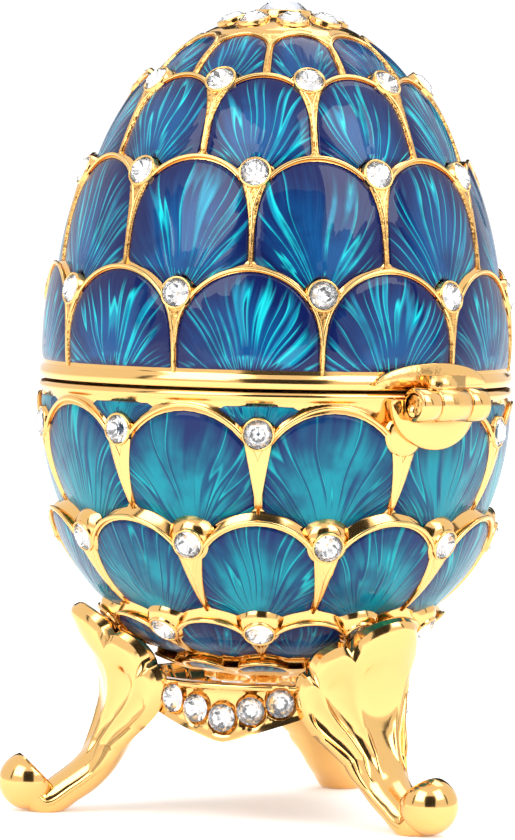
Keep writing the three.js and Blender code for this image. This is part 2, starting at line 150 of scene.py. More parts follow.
def stack(rows, floor_z):
    """Rows from the lowest latitude up, each knowing the row below it."""
    rows[0].floor = latitude_at(floor_z)
    for low, high in zip(rows, rows[1:]):
        high.below = low
    return rows


LID_ROWS = stack(
    [
        Row(47.2, -0.05, 0.4, LID_PHASE, True),
        Row(56.4, -0.15, 0.5, LID_PHASE + HALF_PITCH, True),
        Row(63.2, -0.15, 0.5, LID_PHASE, True),
        Row(66.9, -0.1, 0.25, LID_PHASE + HALF_PITCH, False),
    ],
    LID_BAND_Z + 0.2,
)
BASE_ROWS = stack(
    [
        Row(13.9, -0.15, 0.25, BASE_PHASE + HALF_PITCH, False),
        Row(17.8, -0.4, 0.35, BASE_PHASE, True),
        Row(26.4, -0.6, 0.35, BASE_PHASE + HALF_PITCH, True),
        Row(35.9, -0.95, 0.12, BASE_PHASE, True),
    ],
    BASE_CAP_Z + 0.1,
)


SPANDRELS = Row(BASE_BAND_Z - 0.12, -0.12, -0.12, BASE_PHASE + HALF_PITCH, False, flat=True)
SPANDRELS.below = BASE_ROWS[-1]


def under_hinge(azimuth):
    return abs((azimuth - HINGE_AZIMUTH + 180) % 360 - 180) < 20


# Meshes


class Shape:
    """Collects vertices, faces, each face's material index, and per-vertex coordinates for the streaks."""

    def __init__(self):
        self.verts, self.faces, self.mats, self.coords, self.count = [], [], [], [], 0

    def add(self, verts, faces, mat=0, coords=None):
        verts = np.asarray(verts, float).reshape(-1, 3)
        self.verts.append(verts)
        self.faces += [[i + self.count for i in f] for f in faces]
        self.mats += [mat] * len(faces) if np.isscalar(mat) else list(mat)
        self.coords.append(np.zeros_like(verts) if coords is None else np.asarray(coords).reshape(-1, 3))
        self.count += len(verts)

    def grid(self, points, wrap=False, mat=0, coords=None, flip=False):
        """points is rows by columns by 3. wrap joins the last column to the first."""
        rows, cols = points.shape[:2]
        i, j = np.meshgrid(np.arange(rows - 1), np.arange(cols if wrap else cols - 1), indexing="ij")
        a, b = i * cols + j, i * cols + (j + 1) % cols
        quads = np.stack([a, b, b + cols, a + cols], -1).reshape(-1, 4)
        self.add(points, (quads[:, ::-1] if flip else quads).tolist(), mat, coords)

    def cap(self, ring, centre, mat=0, flip=False):
        n = len(ring)
        faces = [[j, (j + 1) % n, n] for j in range(n)]
        self.add(np.vstack([ring, [centre]]), [f[::-1] for f in faces] if flip else faces, mat)

    def tube(self, path, normals, radius, sides=8, mat=0, lift=1.0):
        """A round wire along path, flattened by lift along the normals, with closed ends."""
        path, normals = np.asarray(path, float), np.asarray(normals, float)
        tangent = np.gradient(path, axis=0)
        tangent /= np.linalg.norm(tangent, axis=1, keepdims=True)
        side = np.cross(tangent, normals)
        side /= np.linalg.norm(side, axis=1, keepdims=True)
        up = np.cross(side, tangent)
        a = np.linspace(0, 2 * math.pi, sides, endpoint=False)
        r = np.broadcast_to(radius, len(path))[:, None, None]
        ring = np.cos(a)[None, :, None] * side[:, None] + lift * np.sin(a)[None, :, None] * up[:, None]
        points = path[:, None] + r * ring
        self.grid(points, wrap=True, mat=mat, flip=True)
        self.cap(points[0], path[0], mat)
        self.cap(points[-1], path[-1], mat, flip=True)

    def lathe(self, profile, origin, axis, segments=32, mat=0):
        """profile is (radius, height) pairs turned round axis through origin."""
        turn = np.array(Vector(axis).to_track_quat("Z", "Y").to_matrix())
        a = np.linspace(0, 2 * math.pi, segments, endpoint=False)
        rings = [np.stack([r * np.cos(a), r * np.sin(a), np.full(segments, h)], -1) for r, h in profile]
        self.grid(np.array(rings) @ turn.T + np.asarray(origin), wrap=True, mat=mat)

    def points(self):
        return np.vstack(self.verts)

    def build(self, name, materials, body, slot=None, smooth=True, replaces=()):
        mesh = bpy.data.meshes.new(name)
        verts = (self.points() + [0, AXIS_Y, 0]) / 1000
        mesh.from_pydata(verts.tolist(), [], self.faces)
        for m in materials:
            mesh.materials.append(m)
        mesh.polygons.foreach_set("material_index", self.mats)
        mesh.polygons.foreach_set("use_smooth", [smooth] * len(self.faces))
        coords = np.vstack(self.coords)
        if coords.any():
            attribute = mesh.attributes.new("streak", "FLOAT_VECTOR", "POINT")
            attribute.data.foreach_set("vector", coords.astype(np.float32).ravel())
        mesh.update()
        obj = bpy.data.objects.new(name, mesh)
        bpy.context.scene.collection.objects.link(obj)
        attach(obj, body)
        if replaces:
            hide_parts(*replaces)
        return obj


def smooth01(x):
    x = np.clip(x, 0, 1)
    return x * x * (3 - 2 * x)


def dimple(points, sites, depth=0.75):
    """Sinks a surface under each stone, so that the stone stands in a cup."""
    for place, normal, radius in sites:
        inner, outer = 0.92 * radius, 1.12 * radius
        away = points - place
        height = away @ normal
        flat = np.linalg.norm(away - height[..., None] * normal, axis=-1)
        near = 1 - smooth01((flat - inner) / (outer - inner))
        near = near * (np.linalg.norm(away, axis=-1) < 2.1 * radius)
        points -= (near * depth * radius / STONE_RADIUS)[..., None] * normal
    return points


# Materials


def new_material(name):
    mat = bpy.data.materials.new(name)
    mat.use_nodes = True
    return mat, mat.node_tree.nodes, mat.node_tree.links, mat.node_tree.nodes["Principled BSDF"]


def gilt(name, roughness, bump, scale, color=(0.88, 0.53, 0.19, 1)):
    mat, nodes, links, shader = new_material(name)
    shader.inputs["Base Color"].default_value = color
    shader.inputs["Metallic"].default_value = 1
    shader.inputs["Roughness"].default_value = roughness
    place = nodes.new("ShaderNodeTexCoord")
    noise = nodes.new("ShaderNodeTexNoise")
    noise.inputs["Scale"].default_value = scale
    noise.inputs["Detail"].default_value = 4
    relief = nodes.new("ShaderNodeBump")
    relief.inputs["Strength"].default_value = bump
    relief.inputs["Distance"].default_value = 0.0001
    links.new(place.outputs["Object"], noise.inputs["Vector"])
    links.new(noise.outputs["Fac"], relief.inputs["Height"])
    links.new(relief.outputs["Normal"], shader.inputs["Normal"])
    return mat


def pitted(name):
    """Cast gold with fine dark pits, for the fillets under the stones."""
    mat, nodes, links, shader = new_material(name)
    shader.inputs["Metallic"].default_value = 1
    shader.inputs["Roughness"].default_value = 0.25
    place = nodes.new("ShaderNodeTexCoord")
    noise = nodes.new("ShaderNodeTexNoise")
    noise.inputs["Scale"].default_value = 2600
    noise.inputs["Detail"].default_value = 3
    ramp = nodes.new("ShaderNodeValToRGB")
    ramp.color_ramp.elements[0].position = 0.3
    ramp.color_ramp.elements[0].color = (0.2, 0.08, 0.015, 1)
    ramp.color_ramp.elements[1].position = 0.5
    ramp.color_ramp.elements[1].color = (0.86, 0.48, 0.15, 1)
    relief = nodes.new("ShaderNodeBump")
    relief.inputs["Strength"].default_value = 0.6
    relief.inputs["Distance"].default_value = 0.00015
    links.new(place.outputs["Object"], noise.inputs["Vector"])
    links.new(noise.outputs["Fac"], ramp.inputs["Fac"])
    links.new(ramp.outputs["Color"], shader.inputs["Base Color"])
    links.new(noise.outputs["Fac"], relief.inputs["Height"])
    links.new(relief.outputs["Normal"], shader.inputs["Normal"])
    return mat


class Graph:
    """Short forms for the nodes of one material."""

    def __init__(self, name):
        self.mat, self.nodes, self.links, self.shader = new_material(name)

    def put(self, node, socket, value):
        if isinstance(value, (int, float, tuple)):
            node.inputs[socket].default_value = value
        else:
            self.links.new(value, node.inputs[socket])

    def noise(self, vector, scale, detail=2.0):
        node = self.nodes.new("ShaderNodeTexNoise")
        self.put(node, "Vector", vector)
        self.put(node, "Scale", scale)
        self.put(node, "Detail", detail)
        return node.outputs["Fac"]

    def math(self, operation, a, b=0.0):
        node = self.nodes.new("ShaderNodeMath")
        node.operation = operation
        self.put(node, 0, a)
        self.put(node, 1, b)
        return node.outputs[0]

    def ease(self, value, start, end):
        """0 at start, 1 at end, smooth between."""
        node = self.nodes.new("ShaderNodeMapRange")
        node.interpolation_type = "SMOOTHSTEP"
        self.put(node, "Value", value)
        self.put(node, "From Min", start)
        self.put(node, "From Max", end)
        return node.outputs["Result"]

    def blend(self, factor, a, b):
        node = self.nodes.new("ShaderNodeMix")
        node.data_type = "RGBA"
        self.put(node, 0, factor)
        self.put(node, 6, a)
        self.put(node, 7, b)
        return node.outputs[2]

    def bump(self, height, strength, distance):
        node = self.nodes.new("ShaderNodeBump")
        self.put(node, "Height", height)
        self.put(node, "Strength", strength)
        self.put(node, "Distance", distance)
        return node.outputs["Normal"]


def enamel(name, inner, outer, line, glint, spread, lines_end, coat, soft):
    """Glossy enamel, with lines that fan out from the foot of each scale and stop short of its edge."""
    g = Graph(name)
    place = g.nodes.new("ShaderNodeAttribute")
    place.attribute_name = "streak"
    parts = g.nodes.new("ShaderNodeSeparateXYZ")
    g.put(parts, 0, place.outputs["Vector"])
    share = g.math("MULTIPLY", parts.outputs["Z"], 4.0)
    broad = g.noise(place.outputs["Vector"], 0.55, 1.0)
    mid = g.noise(place.outputs["Vector"], 1.6, 0.5)
    fine = g.noise(place.outputs["Vector"], 3.5, 2.0)
    ragged = g.math("ADD", share, g.math("MULTIPLY", g.math("SUBTRACT", fine, 0.5), 0.55))
    ragged = g.math("ADD", ragged, g.math("MULTIPLY", g.math("SUBTRACT", broad, 0.5), 0.5))
    ridge = g.math("SUBTRACT", 1.0, g.ease(g.math("ABSOLUTE", g.math("SUBTRACT", mid, 0.5)), 0.01, soft))
    crest = g.math("SUBTRACT", 1.0, g.ease(g.math("ABSOLUTE", g.math("SUBTRACT", mid, 0.46)), 0.0, 0.034))
    reach = g.math("SUBTRACT", 1.0, g.ease(ragged, lines_end - 0.2, lines_end + 0.1))
    reach = g.math("MULTIPLY", reach, g.ease(share, 0.05, 0.3))
    color = g.blend(g.ease(ragged, spread[0], spread[1]), (*inner, 1.0), (*outer, 1.0))
    color = g.blend(g.math("MULTIPLY", ridge, reach), color, (*line, 1.0))
    color = g.blend(g.math("MULTIPLY", crest, reach), color, (*glint, 1.0))
    pooled = g.noise(g.nodes.new("ShaderNodeTexCoord").outputs["Object"], 240.0, 3.0)
    color = g.blend(g.math("MULTIPLY", g.ease(pooled, 0.45, 0.66), 0.55), color, (*outer, 1.0))
    shader = g.shader
    g.put(shader, "Base Color", color)
    g.put(shader, "Metallic", 0.15)
    g.put(shader, "Roughness", 0.4)
    g.put(shader, "Specular IOR Level", 0.1)
    g.put(shader, "Coat Weight", coat[0])
    g.put(shader, "Coat Roughness", 0.02)
    g.put(shader, "Coat IOR", coat[1])
    g.put(shader, "Normal", g.bump(g.math("ADD", fine, g.math("MULTIPLY", ridge, reach)), 0.5, 0.0002))
    g.put(shader, "Coat Normal", g.bump(g.math("ADD", broad, g.math("MULTIPLY", mid, 0.25)), 0.4, 0.0005))
    return g.mat


def glass(name, color):
    mat, _, _, shader = new_material(name)
    shader.inputs["Base Color"].default_value = color
    shader.inputs["Roughness"].default_value = 0
    shader.inputs["IOR"].default_value = 1.6
    shader.inputs["Transmission Weight"].default_value = 1
    return mat


def foil(name, color):
    mat, _, _, shader = new_material(name)
    shader.inputs["Base Color"].default_value = color
    shader.inputs["Metallic"].default_value = 1
    shader.inputs["Roughness"].default_value = 0.18
    return mat


GILT = gilt("gilt", 0.13, 0.12, 500)
WIRE = gilt("gilt_wire", 0.16, 0.15, 900, (0.9, 0.57, 0.21, 1))
SATIN = gilt("gilt_satin", 0.32, 0.3, 1200, (0.88, 0.6, 0.28, 1))
# Darker gold on the rim faces where lid and base meet: painted shade, so that the seam between the halves
# reads dark.
SEAM_SHADE = gilt("gilt_seam_painted_shade", 0.5, 0.2, 900, (0.42, 0.23, 0.075, 1))
PITTED = pitted("gilt_pitted")
CAST = gilt("gilt_cast", 0.2, 0.6, 1300)
LID_ENAMEL = enamel(
    "enamel_lid",
    (0.0008, 0.06, 0.2),
    (0.0003, 0.006, 0.07),
    (0.001, 0.21, 0.35),
    (0.004, 0.53, 0.57),
    (0.3, 0.95),
    0.9,
    (0.6, 1.45),
    0.07,
)
BASE_ENAMEL = enamel(
    "enamel_base",
    (0.0006, 0.23, 0.3),
    (0.002, 0.014, 0.095),
    (0.0005, 0.06, 0.15),
    (0.002, 0.36, 0.4),
    (0.45, 1.05),
    1.1,
    (0.45, 1.4),
    0.1,
)
LOW_ENAMEL = enamel(
    "enamel_low",
    (0.0008, 0.06, 0.16),
    (0.0006, 0.006, 0.055),
    (0.0005, 0.1, 0.2),
    (0.002, 0.25, 0.3),
    (0.3, 0.95),
    0.95,
    (0.45, 1.4),
    0.08,
)
CRYSTAL = glass("crystal", (1, 1, 1, 1))
JEWEL = glass("jewel", (0.86, 0.9, 1, 1))
FOIL = foil("foil", (0.97, 0.97, 0.98, 1))


# Stones: a site is (place, outward normal, radius)


def row_sites(row):
    return [
        (egg_point(a, row.stone, row.edge + 0.2), egg_normal(a, row.stone), STONE_RADIUS) for a in row.forks()
    ]


def stone_mesh(radius, table, crown, pavilion, name, clear):
    """A round brilliant: clear above the girdle, mirrored below it."""
    verts, faces, mats = [], [], []

    def ring(count, r, z, turn):
        start = len(verts)
        for k in range(count):
            a = 2 * math.pi * (k + turn) / count
            verts.append((r * math.cos(a), r * math.sin(a), z))
        return [start + k for k in range(count)]

    top = ring(8, table * radius, crown, 0.5)
    mid = ring(8, (0.45 + 0.55 * table) * radius, crown * 0.6, 0)
    girdle = ring(16, radius, 0, 0)
    low = ring(8, 0.55 * radius, -0.5 * pavilion, 0)
    verts.append((0, 0, -pavilion))
    culet = len(verts) - 1

    def face(indices, mat):
        faces.append(indices)
        mats.append(mat)

    face(top, 0)
    for k in range(8):
        n = (k + 1) % 8
        g0, g1, g2 = girdle[2 * k], girdle[2 * k + 1], girdle[(2 * k + 2) % 16]
        face([top[k - 1], mid[k], top[k]], 0)
        face([top[k], mid[k], g1, mid[n]], 0)
        face([mid[k], g0, g1], 0)
        face([mid[n], g1, g2], 0)
        face([culet, low[n], g1, low[k]], 1)
        face([low[k], g1, g0], 1)
        face([low[n], g2, g1], 1)
    mesh = bpy.data.meshes.new(name)
    mesh.from_pydata([tuple(c / 1000 for c in v) for v in verts], [], faces)
    mesh.materials.append(clear)
    mesh.materials.append(FOIL)
    mesh.polygons.foreach_set("material_index", mats)
    mesh.update()
    return mesh


SMALL_STONE = stone_mesh(STONE_RADIUS, 0.58, 0.42, 0.6, "small_stone", CRYSTAL)
LARGE_STONE = stone_mesh(2.2, 0.62, 0.75, 0.95, "large_stone", JEWEL)


def place_stone(name, site, mesh, body, node=None):
    place, normal, _ = site
    obj = bpy.data.objects.new(name, mesh)
    bpy.context.scene.collection.objects.link(obj)
    turn = Vector(normal).to_track_quat("Z", "Y").to_matrix().to_4x4()
    spin = Matrix.Rotation(rng.uniform(0, 0.8), 4, "Z")
    where = Vector((place[0], place[1] + AXIS_Y, place[2])) / 1000
    obj.matrix_world = Matrix.Translation(where) @ turn @ spin
    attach(obj, body)
    if node:
        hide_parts(node)
    return obj


def collet(shape, site, depth=0.9, width=0.2):
    """The gold cup a stone is set in."""
    place, normal, radius = site
    inner, outer = radius + 0.03, radius + width
    profile = [(outer + 0.05, -depth), (outer, -0.05), (outer - 0.05, 0.06)]
    profile += [(inner, 0.07), (inner - 0.02, -0.02)]
    profile += [(inner - 0.1, -0.12), (0.15 * radius, -0.62 * radius), (0.0, -0.65 * radius)]
    shape.lathe(profile, place, normal, 24)


def mound(shape, site):
    """Cast gold heaped round a stone's cup."""
    place, normal, radius = site
    profile = [(radius + 1.0, -1.4), (radius + 0.75, -0.75), (radius + 0.5, -0.38), (radius + 0.1, -0.16)]
    shape.lathe(profile, place, normal, 24)


# Shells


def shell_loops(rows, columns):
    """Loops of the gold body over the rows of scales, sunk a little where the enamel lies."""
    loops = []
    for row in rows:
        x = ((columns - row.centre(0) + HALF_PITCH) % (2 * HALF_PITCH)) / HALF_PITCH - 1
        low, high = row.lower(x), row.upper(x)
        for share in (0, 0.08, 0.2, 0.34, 0.48, 0.62, 0.76, 0.88, 0.96, 1):
            latitude = low + (high - low) * share
            sunk = 0.12 if 0 < share < 1 else 0.02
            loops.append(egg_point(columns, latitude, row.level(x, latitude) - sunk))
    return loops


def lining(columns, from_latitude, to_latitude, steps=14):
    loops = []
    for latitude in np.linspace(from_latitude, to_latitude, steps):
        r, z = outline(latitude, WALL)
        loops.append(around(columns, r, z))
    return loops


def rim(columns, side, out):
    points = egg_point(columns, latitude_at(SEAM_Z), out)
    points[:, 2] = SEAM_Z + side * SEAM_GAP / 2
    return points


def inner_rim(columns, side):
    r, _ = outline(latitude_at(SEAM_Z), WALL)
    return around(columns, r, SEAM_Z + side * SEAM_GAP / 2)


def band(columns, z_values, outs):
    return [egg_point(columns, latitude_at(z), o) for z, o in zip(z_values, outs)]


def lid_shell(sites):
    columns = LID_PHASE + np.arange(240) * 1.5
    seam = latitude_at(SEAM_Z + SEAM_GAP / 2)
    inside = lining(columns, 89.5, seam)
    x = ((columns - LID_ROWS[-1].centre(0) + HALF_PITCH) % (2 * HALF_PITCH)) / HALF_PITCH - 1
    crown_foot = LID_ROWS[-1].upper(x) + 0.8
    lid_band_z = (SEAM_Z + 0.25, SEAM_Z + 0.6, LID_BAND_Z - 0.1, LID_BAND_Z + 0.1)
    outside = [
        rim(columns, 1, RIM_OUT - 0.08),
        *band(columns, lid_band_z, (0.12, 0.2, 0.14, -0.08)),
        *shell_loops(LID_ROWS, columns),
        egg_point(columns, crown_foot, 0.05),
        *[egg_point(columns, crown_foot + (88.5 - crown_foot) * s, 0.3) for s in np.linspace(0.06, 1, 16)],
    ]
    shape = Shape()
    points = np.array(outside)
    shape.grid(dimple(points, sites), wrap=True)
    shape.cap(points[-1], points[-1].mean(0))
    shape.grid(np.array([*inside, inner_rim(columns, 1)]), wrap=True, mat=1)
    shape.cap(inside[0], [0, 0, outline(90.0, WALL)[1]], mat=1, flip=True)
    # The rim face takes the darker seam gold: painted shade for the gap between lid and base.
    shape.grid(np.array([inner_rim(columns, 1), rim(columns, 1, RIM_OUT - 0.08)]), wrap=True, mat=2)
    return shape


def base_shell(sites):
    columns = BASE_PHASE + np.arange(240) * 1.5
    seam = latitude_at(SEAM_Z - SEAM_GAP / 2)
    inside = lining(columns, -89.5, seam, 18)
    top = BASE_ROWS[-1]
    x = ((columns - top.centre(0) + HALF_PITCH) % (2 * HALF_PITCH)) / HALF_PITCH - 1
    spandrel = top.upper(x) + STEP_WIDTH / top.step
    base_band_z = (BASE_BAND_Z - 0.1, BASE_BAND_Z + 0.05, SEAM_Z - 0.5, SEAM_Z - 0.25)
    edge = rim(columns, -1, RIM_OUT - 0.08)
    outside = [
        *[egg_point(columns, latitude_at(z), 0.0) for z in (BASE_FLAT_Z, 12.0, 12.25, BASE_CAP_Z)],
        *shell_loops(BASE_ROWS, columns),
        egg_point(columns, spandrel, -0.15),
        *band(columns, base_band_z, (-0.1, 0.12, 0.2, 0.12)),
        edge,
    ]
    shape = Shape()
    points = np.array(outside)
    shape.grid(dimple(points, sites), wrap=True)
    shape.cap(points[0], [0, 0, BASE_FLAT_Z], flip=True)
    shape.grid(np.array([*inside, inner_rim(columns, -1)]), wrap=True, mat=1, flip=True)
    shape.cap(inside[0], [0, 0, outline(-90.0, WALL)[1]], mat=1)
    # The rim face takes the darker seam gold: painted shade for the gap between lid and base.
    shape.grid(np.array([inner_rim(columns, -1), edge]), wrap=True, mat=2, flip=True)
    return shape


# Enamel cells


def inside_cell(row, x, lat, inset):
    """True where a point of a scale's own chart lies in its enamelled cell."""
    wide = inset / row.half
    tall = inset / row.step
    if row.flat:
        ok = lat < row.apex - tall
    else:
        ok = (x / (1 - wide)) ** 2 + (np.maximum(lat - row.spring, 0) / (row.arch - tall)) ** 2 < 1
        ok &= np.abs(x) < 1 - wide
    low = row.below
    if low is None:
        return ok & (lat > row.floor + tall)
    wide, tall = inset / low.half, inset / low.step
    up = np.maximum(lat - low.spring, 0) / (low.arch + tall)
    for side in (-1, 1):
        ok &= ((x - side) / (1 + wide)) ** 2 + up**2 > 1
    room = STONE_RADIUS + (0.32 if low.jewelled else -0.5)
    ok &= np.hypot(x * low.half, (lat - low.stone) * low.step) > room
    return ok & (lat > low.spring)


def add_cell(shape, row, centre, seed, inset, mat, rays=80, rings=18):
    low = row.below
    if low is None:
        focus, source = row.floor + 1.6 / row.step, row.floor - 2.0 / row.step
    else:
        focus = low.stone + (STONE_RADIUS + 1.0) / low.step
        source = low.stone - 0.6 / low.step
    angle = np.linspace(0, 2 * math.pi, rays, endpoint=False)
    dx, dy = np.cos(angle) / row.half, np.sin(angle) / row.step
    near, far = np.zeros(rays), np.full(rays, 16.0)
    for _ in range(40):
        middle = (near + far) / 2
        ok = inside_cell(row, middle * dx, focus + middle * dy, inset)
        near, far = np.where(ok, middle, near), np.where(ok, far, middle)
    share = np.linspace(0, 1, rings)[:, None] ** 0.9
    x, lat = share * near * dx, focus + share * near * dy
    out = row.level(x, lat) + 0.06 * (1 - share**2) - 0.1 * share**10
    azimuth = centre + x * HALF_PITCH
    points = egg_point(azimuth, lat, out)
    across, along = x * row.half, (lat - source) * row.step
    fan = np.arctan2(across, np.maximum(along, 0.05))
    reach = np.hypot(across, along) / ((row.apex - source) * row.step)
    fan = fan + 0.022 * np.sin(9 * reach + 2.1 * seed + 5 * fan)
    coords = np.stack([fan * 6 + seed * 13.7, reach * 0.4 + seed * 5.3, 0.25 * share + 0 * fan], -1)
    skirt = egg_point(azimuth[-1], lat[-1], out[-1] - 0.4)[None]
    sides = np.vstack([coords[1:], coords[-1:]])
    shape.grid(np.vstack([points[1:], skirt]), wrap=True, mat=mat, coords=sides, flip=True)
    ring = points[1]
    n = len(ring)
    shape.add(
        np.vstack([ring, points[0, :1]]),
        [[(j + 1) % n, j, n] for j in range(n)],
        mat,
        np.vstack([coords[1], coords[0, :1]]),
    )


def enamel_cells(rows, inset, dark=0):
    """The cells of some rows, the lowest of them in the second material."""
    shape = Shape()
    for i, row in enumerate(rows):
        for k in range(SCALES):
            if row.flat and under_hinge(row.centre(k)):
                continue
            add_cell(shape, row, row.centre(k), i * 10 + k + 1, inset, int(i < dark))
    return shape


def wires(rows, thick, flare):
    """Gold wire over every arch and down every stem, and the cast fill under each stone."""
    shape = Shape()
    for row in rows:
        x = np.sin(np.linspace(-1, 1, 37) * math.pi / 2)
        lat = row.upper(x, 99)
        for k in range(SCALES):
            azimuth = row.centre(k) + x * HALF_PITCH
            path = egg_point(azimuth, lat, row.level(x, lat) + 0.02)
            shape.tube(path, egg_normal(azimuth, lat), thick, lift=0.9)
        bottom = float(row.lower(np.array([1.0]))[0])
        lat = np.linspace(bottom, row.spring + 0.6 / row.step, 12)
        if lat[-1] > bottom:
            for azimuth in row.forks():
                path = egg_point(azimuth, lat, row.level(np.ones(12), lat))
                shape.tube(path, egg_normal(azimuth, lat), np.linspace(0.8, 1.2, 12) * thick, lift=0.9)
        across = np.array([[-1, -0.98, -0.7, -0.35, 0, 0.35, 0.7, 0.98, 1]])
        seat = STONE_RADIUS + 0.1
        top = row.apex - row.fork_drop + 0 * across
        if row.jewelled:
            top = row.stone - seat * np.sqrt(1 - across**2) / row.step
        lat = bottom + np.linspace(0, 1, 24)[:, None] * (top - bottom)
        wide = row.half * (1 - np.sqrt(1 - np.clip((lat - row.spring) / row.arch, 0, 1) ** 2)) + 0.12
        if row.jewelled:
            rise = np.clip((lat - bottom) / (row.stone - bottom), 0, 1)
            wide = np.maximum(wide, 0.12 + (seat - 0.12) * rise**flare)
        x = across * wide / row.half
        out = row.level(1 - np.abs(x), lat) + np.where(np.abs(across) == 1, -0.5, 0.12)
        for azimuth in row.forks():
            shape.grid(egg_point(azimuth + x * HALF_PITCH, lat, out), mat=1)
    return shape


# Stand


LEG_AZIMUTHS = (90.0, 210.0, 330.0)
LEG_LINE = np.array(
    [
        [21.0, 2.4],
        [19.6, 0.88],
        [17.5, 2.1],
        [15.6, 3.6],
        [14.2, 5.7],
        [13.25, 8.4],
        [13.5, 11.2],
        [15.1, 14.2],
        [17.1, 17.9],
    ]
)
LEG_HALF_THICK = np.array([1.4, 1.5, 1.5, 1.6, 1.75, 1.9, 1.7, 1.2, 0.85])
LEG_HALF_WIDTH = np.array([2.0, 2.1, 2.2, 2.4, 3.0, 5.0, 7.2, 9.2, 12.0])
BALL_REACH, BALL_Z, BALL_RADIUS, BALL_FLAT = 21.0, 2.6, 2.5, 1.2
NECK, LOBE_EDGES = 0.5, np.array([-1, -0.68, -0.36, 0.36, 0.68, 1])
RING_OUTER, RING_INNER, RING_TOP, RING_SIDE, RING_TIP = 11.6, 10.4, 12.0, 9.4, 7.0
APRON_HALF, APRON_SPACING = 38.0, 12.2


def spline(share):
    """Point and unit tangent of the leg's centre line."""

    def at(t):
        p = np.clip(t, 0, 1) * (len(LEG_LINE) - 1)
        i = np.minimum(np.floor(p).astype(int), len(LEG_LINE) - 2)
        w = (p - i)[..., None]
        p0, p1 = LEG_LINE[np.maximum(i - 1, 0)], LEG_LINE[i]
        p2, p3 = LEG_LINE[i + 1], LEG_LINE[np.minimum(i + 2, len(LEG_LINE) - 1)]
        v0, v1 = (p2 - p0) / 2, (p3 - p1) / 2
        return (2 * p1 - 2 * p2 + v0 + v1) * w**3 + (-3 * p1 + 3 * p2 - 2 * v0 - v1) * w**2 + v0 * w + p1

    run = at(share + 1e-4) - at(share - 1e-4)
    return at(share), run / np.linalg.norm(run, axis=-1, keepdims=True)


def along_values(values, share):
    return np.interp(share, np.linspace(0, 1, len(values)), values)


def from_lobe_middle(across):
    i = np.clip(np.searchsorted(LOBE_EDGES, across - 1e-6), 1, 5)
    middle = (LOBE_EDGES[i - 1] + LOBE_EDGES[i]) / 2
    return np.clip(np.abs(across - middle) / (LOBE_EDGES[i] - middle), 0, 1)


def leg_surface(share, across, face):
    x = from_lobe_middle(across)
    ray = 1 - 0.69 * np.abs(across) ** 1.5 - 0.07 * (1 - np.sqrt(1 - x * x))
    along = np.where(share <= NECK, share, NECK + (share - NECK) * ray)
    opened = smooth01((along - NECK * 0.7) / (NECK * 0.5))
    centre, tangent = spline(along)
    half = along_values(LEG_HALF_THICK, along)
    side = along_values(LEG_HALF_WIDTH, along)
    side = side * (np.sin(across * math.pi / 2) * (1 - opened) + across * opened)
    crown = np.maximum(0.15, np.cos(across * math.pi / 2)) * (1 - opened) + opened
    thick = 2 * half * crown * (1 - 0.7 * opened * across**2)
    lip = smooth01((share - 0.86) / 0.07)
    hollow = 0.5 * opened * (1 - x**2) * (1 - 0.75 * lip)
    cord = 0.2 * opened * np.exp(-(((1 - x) / 0.16) ** 2)) * (np.abs(across) < 0.97) * (1 - 0.6 * lip)
    rounded = 0.3 * thick * np.clip((share - 0.97) / 0.03, 0, 1) ** 2
    front = half * crown - hollow + cord - rounded
    lift = np.where(face > 0, front, half * crown - thick + rounded) - opened * side**2 / 9
    out = centre[..., 0] + tangent[..., 1] * lift
    return np.stack([out, side, centre[..., 1] - tangent[..., 0] * lift], -1)


def turned(points, azimuth):
    a = math.radians(azimuth)
    turn = np.array([[math.cos(a), -math.sin(a), 0], [math.sin(a), math.cos(a), 0], [0, 0, 1]])
    return points @ turn.T


def leg_shape(shape, azimuth):
    lobes = zip(LOBE_EDGES, LOBE_EDGES[1:])
    across = np.concatenate([np.linspace(a, b, 13)[:-1] for a, b in lobes] + [[1.0]])
    share = np.concatenate([np.linspace(0, 0.96, 70), np.linspace(0.97, 1, 8)])[:, None]
    face = leg_surface(share, across[None], 1)
    back = leg_surface(share, across[None, ::-1], -1)
    loops = np.concatenate([face, back], axis=1)
    loops[..., 2] = np.maximum(loops[..., 2], 0)
    shape.grid(turned(loops, azimuth), wrap=True, flip=True)
    for end in (0, -1):
        n = len(across)
        pair = np.stack([loops[end, :n], loops[end, n:][::-1]])
        shape.grid(turned(pair, azimuth), flip=end == 0)
    last = math.asin(BALL_FLAT / BALL_RADIUS)
    ball = [(BALL_RADIUS * math.cos(t), BALL_RADIUS * math.sin(t)) for t in np.linspace(-1.57, last, 30)]
    flat = ball[-1][0]
    ball += [(0.93 * flat, BALL_FLAT + 0.05), (0.85 * flat, BALL_FLAT), (0.001, BALL_FLAT - 0.25)]
    place = turned(np.array([[BALL_REACH, 0, BALL_Z]]), azimuth)[0]
    shape.lathe(ball, place, turned(np.array([[-1.0, 0, 1.0]]), azimuth)[0], 48)


def apron_low(azimuth):
    from_leg = (azimuth - LEG_AZIMUTHS[0]) % 120
    share = np.minimum(1, np.sqrt((from_leg - 60) ** 2 + 9) / APRON_HALF)
    return RING_TIP - 0.15 + (RING_SIDE - RING_TIP + 0.15) * share


def apron_sites():
    sites = []
    for leg in LEG_AZIMUTHS:
        for k in range(-2, 3):
            azimuth = leg + 60 + k * APRON_SPACING
            place = around(azimuth, RING_OUTER + 0.22, 9.1 + 0.68 * abs(k))
            sites.append((place, around(azimuth, 1.0, 0.0), STONE_RADIUS))
    return sites


